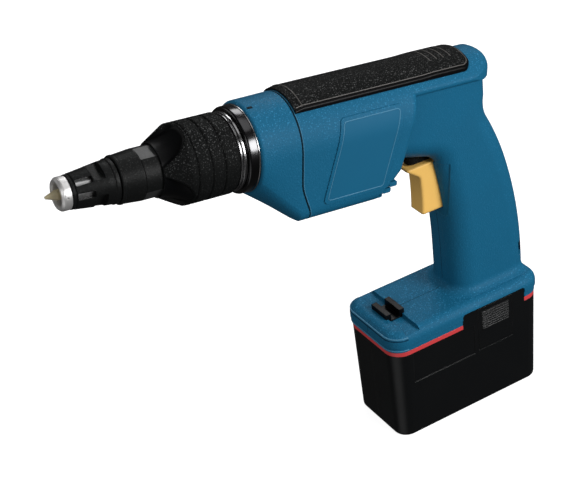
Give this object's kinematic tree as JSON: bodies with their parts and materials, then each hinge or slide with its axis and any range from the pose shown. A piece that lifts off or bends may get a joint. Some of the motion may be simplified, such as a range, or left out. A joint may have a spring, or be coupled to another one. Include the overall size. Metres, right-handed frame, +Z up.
{
  "type": "cordless drywall screwdriver",
  "caption": "Pistol-grip cordless drywall screwdriver with a depth-stop nose, sliding top lid over a bit tray, trigger, direction lever and a latched battery pack as its base.",
  "frame": {"origin": "centre of the battery pack's flat base, on the floor", "axes": "+Z up, +X towards the nose and the bit, +Y to the left of the person who holds it"},
  "size_m": [0.3136, 0.059, 0.2703],
  "materials": {
    "housing_blue": "fine-grained moulded plastic",
    "grained_black": "grained moulded plastic",
    "pack_black": "satin moulded plastic",
    "polished_black": "polished",
    "bright_trim": "polished",
    "stop_steel": "satin turned",
    "tool_steel": "machined",
    "screw_steel": "zinc plated",
    "bit_gold": "gold-coloured hard coating",
    "trigger_ochre": "smooth moulded plastic",
    "stripe_red": "smooth moulded plastic",
    "case_blue": "fine-grained moulded plastic",
    "motor_steel": "plated sheet",
    "magnet_grey": "sintered",
    "copper": "drawn copper",
    "bronze": "sintered bronze",
    "sink_aluminium": "extruded",
    "inner_plastic": "moulded plastic",
    "lead_red": "insulated lead",
    "brush_carbon": "pressed carbon",
    "cell_sleeve": "sleeved metal can"
  },
  "bodies": {
    "housing": {"housing_left": "housing_blue", "housing_right": "housing_blue", "housing_screws": "screw_steel", "gear_case": "case_blue", "gear_plate": "sink_aluminium", "gear_case_screws": "screw_steel", "collar": "polished_black", "collar_trim": "bright_trim", "bit_tray": "grained_black", "spare_bits": "bit_gold", "bit_clip": "grained_black", "motor_can": "motor_steel", "motor_magnets": "magnet_grey", "motor_end_cap": "inner_plastic", "brush_holders": "bronze", "motor_brushes": "brush_carbon", "motor_bushes": "bronze", "drive_bush": "bronze", "spindle_bush": "bronze", "layshaft_pin": "tool_steel", "switch_body": "inner_plastic", "heat_sink": "sink_aluminium", "terminal_block": "inner_plastic", "contact_blades": "copper", "supply_leads": "lead_red", "motor_leads": "lead_red"},
    "rotor": {"rotor_core": "motor_steel", "rotor_windings": "copper", "commutator": "copper", "motor_shaft": "tool_steel", "motor_fan": "inner_plastic", "motor_pinion": "tool_steel"},
    "layshaft": {"layshaft_gear": "tool_steel"},
    "drive": {"drive_gear": "tool_steel"},
    "spindle": {"spindle": "tool_steel", "screw_bit": "bit_gold", "bit_ring": "tool_steel"},
    "nosepiece": {"nose_carrier": "grained_black"},
    "adjuster": {"depth_adjuster": "grained_black"},
    "depth_stop": {"stop_sleeve": "grained_black", "stop_cone": "grained_black", "stop_liner": "bright_trim", "stop_ring": "stop_steel"},
    "trigger": {"trigger": "trigger_ochre"},
    "direction_lever": {"direction_lever": "grained_black"},
    "top_lid": {"top_lid": "grained_black"},
    "battery": {"battery_case": "pack_black", "battery_cap": "pack_black", "battery_stripe": "stripe_red", "battery_cells": "cell_sleeve", "cell_links": "motor_steel", "battery_contacts": "copper"},
    "latch_left": {"latch_left": "pack_black"},
    "latch_right": {"latch_right": "pack_black"}
  },
  "joints": [
    {"name": "motor_spin", "type": "hinge", "parent": "housing", "child": "rotor", "pos_m": [0.11044, 0, 0.21875], "axis": [0.9921, 0, 0.1253], "continuous": true},
    {"name": "layshaft_spin", "type": "hinge", "parent": "housing", "child": "layshaft", "pos_m": [0.10926, 0.00919, 0.22815], "axis": [0.9921, 0, 0.1253], "continuous": true},
    {"name": "drive_spin", "type": "hinge", "parent": "housing", "child": "drive", "pos_m": [0.108, 0, 0.2381], "axis": [0.9921, 0, 0.1253], "continuous": true},
    {"name": "clutch_push", "type": "slide", "parent": "drive", "child": "spindle", "axis": [-0.9921, 0, -0.1253], "range_m": [0, 0.0034], "stiffness_N_per_m": 3000, "springref_m": -0.002},
    {"name": "nosepiece_pull", "type": "slide", "parent": "housing", "child": "nosepiece", "axis": [0.9921, 0, 0.1253], "range_m": [0, 0.11]},
    {"name": "depth_turn", "type": "hinge", "parent": "nosepiece", "child": "adjuster", "pos_m": [0.108, 0, 0.2381], "axis": [0.9921, 0, 0.1253], "range_deg": [-216, 360]},
    {"name": "depth_slide", "type": "slide", "parent": "nosepiece", "child": "depth_stop", "axis": [0.9921, 0, 0.1253], "range_m": [-0.003, 0.005]},
    {"name": "trigger_pull", "type": "slide", "parent": "housing", "child": "trigger", "axis": [-0.9928, 0, 0.1201], "range_m": [0, 0.006], "stiffness_N_per_m": 1200, "springref_m": -0.003},
    {"name": "direction_swing", "type": "hinge", "parent": "housing", "child": "direction_lever", "pos_m": [-0.0065, 0, 0.1892], "axis": [0, 0, 1], "range_deg": [-10, 10]},
    {"name": "lid_slide", "type": "slide", "parent": "housing", "child": "top_lid", "axis": [0.9921, 0, 0.1253], "range_m": [0, 0.055]},
    {"name": "battery_slide", "type": "slide", "parent": "housing", "child": "battery", "axis": [0, 0, -1], "range_m": [0, 0.05]},
    {"name": "latch_left_press", "type": "hinge", "parent": "battery", "child": "latch_left", "pos_m": [-0.021, 0.02726, 0.0465], "axis": [1, 0, 0], "range_deg": [0, 4], "stiffness_Nm_per_rad": 3, "springref_deg": -1.15},
    {"name": "latch_right_press", "type": "hinge", "parent": "battery", "child": "latch_right", "pos_m": [-0.021, -0.02726, 0.0465], "axis": [-1, 0, 0], "range_deg": [0, 4], "stiffness_Nm_per_rad": 3, "springref_deg": -1.15}
  ],
  "couplings": [
    {"joint": "layshaft_spin", "follows": "motor_spin", "ratio": -0.375},
    {"joint": "drive_spin", "follows": "motor_spin", "ratio": 0.15625},
    {"joint": "depth_slide", "follows": "depth_turn", "m_per_rad": 0.000795}
  ]
}
